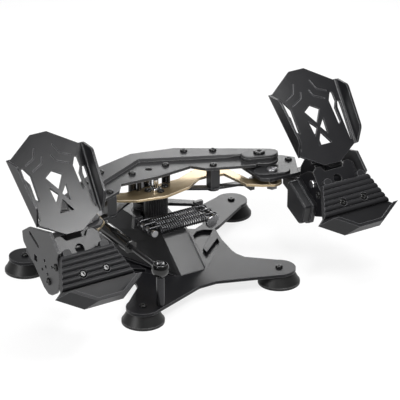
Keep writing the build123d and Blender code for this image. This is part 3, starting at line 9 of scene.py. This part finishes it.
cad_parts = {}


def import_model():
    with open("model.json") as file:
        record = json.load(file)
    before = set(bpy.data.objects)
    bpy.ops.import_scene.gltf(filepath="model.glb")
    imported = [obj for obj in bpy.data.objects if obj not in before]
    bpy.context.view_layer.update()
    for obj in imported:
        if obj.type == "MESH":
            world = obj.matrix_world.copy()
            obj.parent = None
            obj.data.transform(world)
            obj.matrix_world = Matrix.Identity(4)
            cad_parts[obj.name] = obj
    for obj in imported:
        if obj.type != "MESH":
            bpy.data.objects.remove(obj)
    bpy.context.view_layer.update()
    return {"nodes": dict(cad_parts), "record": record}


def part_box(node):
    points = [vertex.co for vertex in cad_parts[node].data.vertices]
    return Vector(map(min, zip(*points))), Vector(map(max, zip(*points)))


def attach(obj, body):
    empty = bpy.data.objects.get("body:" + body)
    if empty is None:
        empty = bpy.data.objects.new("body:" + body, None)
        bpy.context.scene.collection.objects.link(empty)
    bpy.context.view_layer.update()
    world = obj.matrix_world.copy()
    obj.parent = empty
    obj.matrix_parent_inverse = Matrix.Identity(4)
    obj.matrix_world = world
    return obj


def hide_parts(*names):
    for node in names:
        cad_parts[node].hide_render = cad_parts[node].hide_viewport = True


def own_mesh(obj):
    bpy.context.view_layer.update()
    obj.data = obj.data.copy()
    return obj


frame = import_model()

# Lengths in metres, in the model's frame: +X to the pilot's right, +Y away from the pilot, +Z up
# The camera's turn from +Y about +Z and its fall below level are in degrees, its lens and film width in mm
CAMERA_PLACE = (-1.4783, -2.4108, 1.4490)
CAMERA_TURN = -32.0
CAMERA_FALL = 25.4
CAMERA_LENS = 232.1
CAMERA_FILM = 36.0
CAMERA_REACH = 50.0

# Even light on the object, and the backdrop that mirrors see: dim in front, brighter behind the object
WHITE = (1.0, 1.0, 1.0, 1.0)
AMBIENT = 0.45
FRONT_GLOW = 0.08
REAR_GLOW = 0.40
BACKDROP_WAY = (0.53, 0.85, 0.0)
BACKDROP_BAND = 0.6

# The floor's colour, and the share of it that the camera and mirrors see as plain white
FLOOR_SIZE = 12.0
FLOOR_COLOUR = (0.90, 0.90, 0.90)
FLOOR_WHITE = 0.80
FLOOR_ROUGHNESS = 0.9

# Each lamp: place, the point that it aims at, width and height, power in watts
MIDDLE = (0.0, 0.02, 0.09)
SOFTBOXES = {
    "rear_softbox": ((0.54, 0.74, 0.37), (0.08, 0.0, 0.05), (0.36, 0.20), 1.8),
    "overhead_softbox": ((0.10, 0.30, 1.60), MIDDLE, (1.0, 0.5), 14.0),
    "left_softbox": ((-1.50, -0.30, 0.80), MIDDLE, (0.4, 0.7), 18.0),
    "plate_softbox": ((0.025, -0.345, 0.48), (-0.19, -0.09, 0.11), (0.14, 0.10), 1.9),
    "hood_softbox": ((0.20, -0.17, 0.47), (-0.02, -0.01, 0.03), (0.12, 0.12), 0.9),
}

# Return springs of the toe brakes
SPRING_WIRE = 0.00115
SPRING_TURNS = 6.5
WIRE_SIDES = 12
STEPS_PER_TURN = 28
SMOOTH_ANGLE = 60.0
WELD_DISTANCE = 1e-6

# Painted highlight along sharp edges: the share of the light edge colour, how fast it shows as the surface
# turns, the samples of the rounded normal, and the share of metal that the edges lose so that the light
# colour shows
EDGE_HIGHLIGHT_SHARE = 0.5
EDGE_GAIN = 5.0
EDGE_SAMPLES = 6
EDGE_HIGHLIGHT_METAL_LOSS = 0.8
EDGE_HIGHLIGHT_GREY = (0.22, 0.22, 0.23)

# The fine grain's detail, and the size and detail of the slow drift in tone, which also moves the roughness
GRAIN_DETAIL = 3.0
TONE_SCALE = 28.0
TONE_DETAIL = 4.0
TONE_ROUGHNESS = 0.6
ROUGHNESS_DRIFT = 0.12


class Finish(NamedTuple):
    """A surface: two tones that drift into each other, the colour of the painted highlight on its sharp
    edges, and sizes in mm.
    """

    tone: tuple
    second_tone: tuple
    edge_highlight_colour: tuple
    specular: float
    roughness: float
    grain_mm: float
    height_mm: float
    edge_mm: float
    metallic: float = 0.0


FINISHES = {
    "powder_coat": Finish(
        (0.012, 0.012, 0.013), (0.018, 0.018, 0.019), EDGE_HIGHLIGHT_GREY,
        specular=0.36, roughness=0.34, grain_mm=0.35, height_mm=0.012, edge_mm=1.0,
    ),
    "base_coat": Finish(
        (0.004, 0.004, 0.005), (0.007, 0.007, 0.008), EDGE_HIGHLIGHT_GREY,
        specular=0.17, roughness=0.34, grain_mm=0.35, height_mm=0.012, edge_mm=1.1,
    ),
    # Painted sheen: a lighter copy of the black coat, with lighter edges, for the beam's top plate, flange
    # and arm caps
    "beam_coat_painted_sheen": Finish(
        (0.019, 0.019, 0.020), (0.027, 0.027, 0.028), (0.5, 0.5, 0.5),
        specular=0.27, roughness=0.34, grain_mm=0.35, height_mm=0.012, edge_mm=1.2,
    ),
    "plate_coat": Finish(
        (0.006, 0.006, 0.007), (0.009, 0.009, 0.010), EDGE_HIGHLIGHT_GREY,
        specular=0.30, roughness=0.32, grain_mm=0.35, height_mm=0.010, edge_mm=1.0,
    ),
    "dark_coat": Finish(
        (0.004, 0.004, 0.005), (0.007, 0.007, 0.008), (0.16, 0.16, 0.16),
        specular=0.25, roughness=0.36, grain_mm=0.35, height_mm=0.014, edge_mm=1.0,
    ),
    "casting": Finish(
        (0.006, 0.006, 0.007), (0.011, 0.011, 0.012), (0.12, 0.12, 0.12),
        specular=0.30, roughness=0.42, grain_mm=0.9, height_mm=0.030, edge_mm=0.8,
    ),
    "rubber": Finish(
        (0.006, 0.006, 0.006), (0.010, 0.010, 0.010), (0.14, 0.14, 0.14),
        specular=0.30, roughness=0.46, grain_mm=0.7, height_mm=0.020, edge_mm=1.2,
    ),
    "champagne": Finish(
        (0.40, 0.30, 0.17), (0.50, 0.39, 0.24), (1.0, 0.93, 0.78),
        specular=0.50, roughness=0.30, grain_mm=0.25, height_mm=0.006, edge_mm=1.7, metallic=0.90,
    ),
    "chrome": Finish(
        (0.68, 0.68, 0.69), (0.76, 0.76, 0.77), (0.95, 0.95, 0.95),
        specular=0.50, roughness=0.14, grain_mm=0.5, height_mm=0.003, edge_mm=0.3, metallic=1.0,
    ),
    "steel": Finish(
        (0.26, 0.26, 0.27), (0.36, 0.36, 0.37), (0.85, 0.85, 0.85),
        specular=0.50, roughness=0.28, grain_mm=0.4, height_mm=0.005, edge_mm=0.3, metallic=1.0,
    ),
    "black_chrome": Finish(
        (0.020, 0.020, 0.022), (0.032, 0.032, 0.034), (0.40, 0.40, 0.40),
        specular=0.50, roughness=0.20, grain_mm=0.5, height_mm=0.003, edge_mm=0.5, metallic=0.7,
    ),
    "spring_steel": Finish(
        (0.070, 0.070, 0.074), (0.12, 0.12, 0.125), (0.40, 0.40, 0.40),
        specular=0.50, roughness=0.32, grain_mm=0.3, height_mm=0.003, edge_mm=0.1, metallic=1.0,
    ),
    "black_screw": Finish(
        (0.004, 0.004, 0.004), (0.007, 0.007, 0.007), (0.40, 0.40, 0.40),
        specular=0.22, roughness=0.20, grain_mm=0.3, height_mm=0.003, edge_mm=0.5,
    ),
    "black_plastic": Finish(
        (0.006, 0.006, 0.007), (0.010, 0.010, 0.011), EDGE_HIGHLIGHT_GREY,
        specular=0.30, roughness=0.34, grain_mm=0.45, height_mm=0.014, edge_mm=0.9,
    ),
    "heel_plastic": Finish(
        (0.010, 0.010, 0.011), (0.015, 0.015, 0.016), EDGE_HIGHLIGHT_GREY,
        specular=0.12, roughness=0.42, grain_mm=0.45, height_mm=0.016, edge_mm=1.0,
    ),
    "board": Finish(
        (0.012, 0.075, 0.030), (0.020, 0.095, 0.040), (0.20, 0.22, 0.12),
        specular=0.40, roughness=0.35, grain_mm=0.8, height_mm=0.008, edge_mm=0.2,
    ),
    "damper_black": Finish(
        (0.004, 0.004, 0.004), (0.007, 0.007, 0.007), (0.30, 0.30, 0.30),
        specular=0.45, roughness=0.14, grain_mm=0.6, height_mm=0.002, edge_mm=0.6,
    ),
}

# Nodes whose finish isn't the one of their material slot
NODE_FINISH = {
    "base_plate": "base_coat",
    "base_underplate": "dark_coat",
    # The beam's top plate, flange and arm caps wear the lighter copy of the black coat as painted sheen
    "beam_top_plate": "beam_coat_painted_sheen",
    "beam_flange": "beam_coat_painted_sheen",
    "arm_caps": "beam_coat_painted_sheen",
    "left_pedal_plate": "plate_coat",
    "right_pedal_plate": "plate_coat",
    "left_bracket": "dark_coat",
    "right_bracket": "dark_coat",
    "left_heel_rest": "heel_plastic",
    "right_heel_rest": "heel_plastic",
    "left_pedal_arm": "dark_coat",
    "right_pedal_arm": "dark_coat",
    "damper_post": "black_chrome",
    "damper_rod": "black_chrome",
    "link_posts": "black_chrome",
    "spring_pins": "steel",
}


# Shared effects
def new_group(name, inputs, outputs):
    group = bpy.data.node_groups.new(name, "ShaderNodeTree")
    for label, kind, value in inputs:
        socket = group.interface.new_socket(label, in_out="INPUT", socket_type=kind)
        if value is not None:
            socket.default_value = value
    for label, kind in outputs:
        group.interface.new_socket(label, in_out="OUTPUT", socket_type=kind)
    return group, group.nodes.new("NodeGroupInput"), group.nodes.new("NodeGroupOutput")


def math_node(tree, operation, first, second=None, clamp=False):
    node = tree.nodes.new("ShaderNodeMath")
    node.operation = operation
    node.use_clamp = clamp
    for socket, value in zip(node.inputs, (first, second)):
        if isinstance(value, bpy.types.NodeSocket):
            tree.links.new(value, socket)
        elif value is not None:
            socket.default_value = value
    return node.outputs[0]


def grain_group():
    """Fine grain of a coated or moulded surface, and slow drifts of tone over a few centimetres."""
    inputs = [("Grain Size", "NodeSocketFloat", 0.0005)]
    outputs = [("Grain", "NodeSocketFloat"), ("Tone", "NodeSocketFloat")]
    group, entry, leave = new_group("surface_grain", inputs, outputs)
    place = group.nodes.new("ShaderNodeTexCoord").outputs["Object"]
    fine = group.nodes.new("ShaderNodeTexNoise")
    fine.inputs["Detail"].default_value = GRAIN_DETAIL
    group.links.new(math_node(group, "DIVIDE", 1.0, entry.outputs["Grain Size"]), fine.inputs["Scale"])
    slow = group.nodes.new("ShaderNodeTexNoise")
    slow.inputs["Scale"].default_value = TONE_SCALE
    slow.inputs["Detail"].default_value = TONE_DETAIL
    slow.inputs["Roughness"].default_value = TONE_ROUGHNESS
    for noise in (fine, slow):
        group.links.new(place, noise.inputs["Vector"])
    group.links.new(fine.outputs["Fac"], leave.inputs["Grain"])
    group.links.new(slow.outputs["Fac"], leave.inputs["Tone"])
    return group


def edge_group():
    """A narrow mask along sharp edges for a painted highlight, and the normal of a softened edge."""
    inputs = [("Edge Width", "NodeSocketFloat", 0.0005)]
    outputs = [("Edge", "NodeSocketFloat"), ("Normal", "NodeSocketVector")]
    group, entry, leave = new_group("painted_edge_highlight_and_bevel", inputs, outputs)
    bevel = group.nodes.new("ShaderNodeBevel")
    bevel.samples = EDGE_SAMPLES
    group.links.new(entry.outputs["Edge Width"], bevel.inputs["Radius"])
    shape = group.nodes.new("ShaderNodeNewGeometry")
    dot = group.nodes.new("ShaderNodeVectorMath")
    dot.operation = "DOT_PRODUCT"
    group.links.new(bevel.outputs["Normal"], dot.inputs[0])
    group.links.new(shape.outputs["Normal"], dot.inputs[1])
    turn = math_node(group, "SUBTRACT", 1.0, dot.outputs["Value"])
    mask = math_node(group, "MULTIPLY", turn, EDGE_GAIN, clamp=True)
    group.links.new(mask, leave.inputs["Edge"])
    group.links.new(bevel.outputs["Normal"], leave.inputs["Normal"])
    return group


GRAIN = grain_group()
EDGE = edge_group()


def mix_colour(tree, share, first, second):
    node = tree.nodes.new("ShaderNodeMix")
    node.data_type = "RGBA"
    tree.links.new(share, node.inputs["Factor"])
    for socket, value in zip((node.inputs[6], node.inputs[7]), (first, second)):
        if isinstance(value, bpy.types.NodeSocket):
            tree.links.new(value, socket)
        else:
            socket.default_value = (*value, 1.0)
    return node.outputs[2]


def place_group(tree, group, values):
    node = tree.nodes.new("ShaderNodeGroup")
    node.node_tree = group
    for label, value in values.items():
        node.inputs[label].default_value = value
    return node


def finish_material(name):
    finish = FINISHES[name]
    material = bpy.data.materials.new(name)
    material.use_nodes = True
    material.diffuse_color = (*finish.tone, 1.0)
    tree = material.node_tree
    shader = tree.nodes["Principled BSDF"]
    grain = place_group(tree, GRAIN, {"Grain Size": finish.grain_mm / 1000})
    edge = place_group(tree, EDGE, {"Edge Width": finish.edge_mm / 1000})
    tone = mix_colour(tree, grain.outputs["Tone"], finish.tone, finish.second_tone)
    # Painted highlight: sharp edges are mixed towards the light edge colour
    share = math_node(tree, "MULTIPLY", edge.outputs["Edge"], EDGE_HIGHLIGHT_SHARE)
    tree.links.new(mix_colour(tree, share, tone, finish.edge_highlight_colour), shader.inputs["Base Color"])
    if finish.metallic:
        # Metal gives way along the edges so that the painted highlight shows
        metal = math_node(tree, "MULTIPLY_ADD", edge.outputs["Edge"], -EDGE_HIGHLIGHT_METAL_LOSS * finish.metallic)
        metal.node.inputs[2].default_value = finish.metallic
        tree.links.new(metal, shader.inputs["Metallic"])
    shader.inputs["Specular IOR Level"].default_value = finish.specular
    drift = math_node(tree, "MULTIPLY_ADD", grain.outputs["Tone"], ROUGHNESS_DRIFT)
    drift.node.inputs[2].default_value = finish.roughness - ROUGHNESS_DRIFT / 2
    tree.links.new(drift, shader.inputs["Roughness"])
    bump = tree.nodes.new("ShaderNodeBump")
    bump.inputs["Strength"].default_value = 1.0
    bump.inputs["Distance"].default_value = finish.height_mm / 1000
    tree.links.new(grain.outputs["Grain"], bump.inputs["Height"])
    tree.links.new(edge.outputs["Normal"], bump.inputs["Normal"])
    tree.links.new(bump.outputs["Normal"], shader.inputs["Normal"])
    return material


materials = {name: finish_material(name) for name in FINISHES}
slot_of = {row["node"]: row["material_slot"] for row in frame["record"]["subparts"]}


def wear(piece, finish):
    piece.data.materials.clear()
    piece.data.materials.append(materials[finish])


for node, piece in frame["nodes"].items():
    wear(piece, NODE_FINISH.get(node, slot_of[node]))


# New pieces
def new_piece(name, mesh, finish, body):
    data = bpy.data.meshes.new(name)
    bmesh.ops.remove_doubles(mesh, verts=mesh.verts, dist=WELD_DISTANCE)
    bmesh.ops.recalc_face_normals(mesh, faces=mesh.faces)
    mesh.to_mesh(data)
    mesh.free()
    piece = bpy.data.objects.new(name, data)
    bpy.context.scene.collection.objects.link(piece)
    data.shade_smooth()
    data.set_sharp_from_angle(angle=radians(SMOOTH_ANGLE))
    wear(piece, finish)
    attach(piece, body)
    return piece


def brake_spring(side):
    """The open coil under the brake lever."""
    node = side + "_brake_spring"
    low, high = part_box(node)
    middle = (low + high) / 2
    radius = (high.x - low.x) / 2 - SPRING_WIRE
    rise = high.z - low.z - 2 * SPRING_WIRE
    steps = round(SPRING_TURNS * STEPS_PER_TURN)
    mesh = bmesh.new()
    start = Matrix.Translation((middle.x + radius, middle.y, low.z + SPRING_WIRE))
    start @= Matrix.Rotation(pi / 2, 4, "X")
    ring = bmesh.ops.create_circle(mesh, cap_ends=True, segments=WIRE_SIDES, radius=SPRING_WIRE, matrix=start)
    geometry = ring["verts"] + mesh.edges[:] + mesh.faces[:]
    bmesh.ops.spin(
        mesh,
        geom=geometry,
        cent=middle,
        axis=(0, 0, 1),
        dvec=(0, 0, rise / steps),
        angle=2 * pi * SPRING_TURNS,
        steps=steps,
    )
    spring = new_piece(side + "_brake_coil", mesh, "spring_steel", side + "_carrier")
    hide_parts(node)
    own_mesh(spring)


for side in ("left", "right"):
    brake_spring(side)


# Studio
def seen_directly(tree, path):
    """1 where the camera or a mirror looks at the studio, and 0 where the studio lights the object."""
    seen = math_node(tree, "MAXIMUM", path.outputs["Is Camera Ray"], path.outputs["Is Transmission Ray"])
    return math_node(tree, "MAXIMUM", seen, path.outputs["Is Glossy Ray"])


def floor_material():
    """A pale matt floor. The camera and mirrors see part of it as plain white, so its shadows stay faint."""
    material = bpy.data.materials.new("studio_white")
    material.use_nodes = True
    tree = material.node_tree
    shader = tree.nodes["Principled BSDF"]
    shader.inputs["Base Color"].default_value = (*FLOOR_COLOUR, 1.0)
    shader.inputs["Roughness"].default_value = FLOOR_ROUGHNESS
    shader.inputs["Specular IOR Level"].default_value = 0.0
    glow = tree.nodes.new("ShaderNodeEmission")
    glow.inputs["Strength"].default_value = 1.0
    path = tree.nodes.new("ShaderNodeLightPath")
    share = math_node(tree, "MULTIPLY", seen_directly(tree, path), FLOOR_WHITE)
    mix = tree.nodes.new("ShaderNodeMixShader")
    tree.links.new(share, mix.inputs["Fac"])
    tree.links.new(shader.outputs["BSDF"], mix.inputs[1])
    tree.links.new(glow.outputs["Emission"], mix.inputs[2])
    tree.links.new(mix.outputs["Shader"], tree.nodes["Material Output"].inputs["Surface"])
    return material


def floor():
    mesh = bmesh.new()
    bmesh.ops.create_grid(mesh, x_segments=1, y_segments=1, size=FLOOR_SIZE)
    data = bpy.data.meshes.new("studio_floor")
    mesh.to_mesh(data)
    mesh.free()
    data.materials.append(floor_material())
    piece = bpy.data.objects.new("studio_floor", data)
    bpy.context.scene.collection.objects.link(piece)


def softbox(name, place, aim, size, power):
    lamp = bpy.data.lights.new(name, "AREA")
    lamp.shape = "RECTANGLE"
    lamp.size, lamp.size_y = size
    lamp.energy = power
    piece = bpy.data.objects.new(name, lamp)
    piece.location = place
    piece.rotation_euler = (Vector(place) - Vector(aim)).to_track_quat("Z", "Y").to_euler()
    piece.visible_camera = False
    bpy.context.scene.collection.objects.link(piece)


def world():
    """Even light from all round. The camera sees white, and mirrors see a backdrop that is dim in front."""
    sky = bpy.data.worlds.new("studio")
    sky.use_nodes = True
    tree = sky.node_tree
    ambient = tree.nodes["Background"]
    ambient.inputs["Color"].default_value = WHITE
    ambient.inputs["Strength"].default_value = AMBIENT
    white = tree.nodes.new("ShaderNodeBackground")
    white.inputs["Color"].default_value = WHITE
    path = tree.nodes.new("ShaderNodeLightPath")
    seen = seen_directly(tree, path)
    way = tree.nodes.new("ShaderNodeTexCoord")
    toward = tree.nodes.new("ShaderNodeVectorMath")
    toward.operation = "DOT_PRODUCT"
    tree.links.new(way.outputs["Generated"], toward.inputs[0])
    toward.inputs[1].default_value = BACKDROP_WAY
    fade = tree.nodes.new("ShaderNodeMapRange")
    fade.interpolation_type = "SMOOTHSTEP"
    fade.inputs["From Min"].default_value = -BACKDROP_BAND
    fade.inputs["From Max"].default_value = BACKDROP_BAND
    fade.inputs["To Min"].default_value = FRONT_GLOW
    fade.inputs["To Max"].default_value = REAR_GLOW
    tree.links.new(toward.outputs["Value"], fade.inputs["Value"])
    strength = math_node(tree, "MAXIMUM", fade.outputs["Result"], path.outputs["Is Camera Ray"])
    tree.links.new(strength, white.inputs["Strength"])
    mix = tree.nodes.new("ShaderNodeMixShader")
    tree.links.new(seen, mix.inputs["Fac"])
    tree.links.new(ambient.outputs["Background"], mix.inputs[1])
    tree.links.new(white.outputs["Background"], mix.inputs[2])
    tree.links.new(mix.outputs["Shader"], tree.nodes["World Output"].inputs["Surface"])
    bpy.context.scene.world = sky


def camera():
    lens = bpy.data.cameras.new("camera")
    lens.lens = CAMERA_LENS
    lens.sensor_width = CAMERA_FILM
    lens.clip_end = CAMERA_REACH
    piece = bpy.data.objects.new("camera", lens)
    piece.location = CAMERA_PLACE
    piece.rotation_euler = (radians(90.0 - CAMERA_FALL), 0.0, radians(CAMERA_TURN))
    bpy.context.scene.collection.objects.link(piece)
    bpy.context.scene.camera = piece


floor()
world()
camera()
for name, (place, aim, size, power) in SOFTBOXES.items():
    softbox(name, place, aim, size, power)
bpy.context.scene.view_settings.view_transform = "Standard"
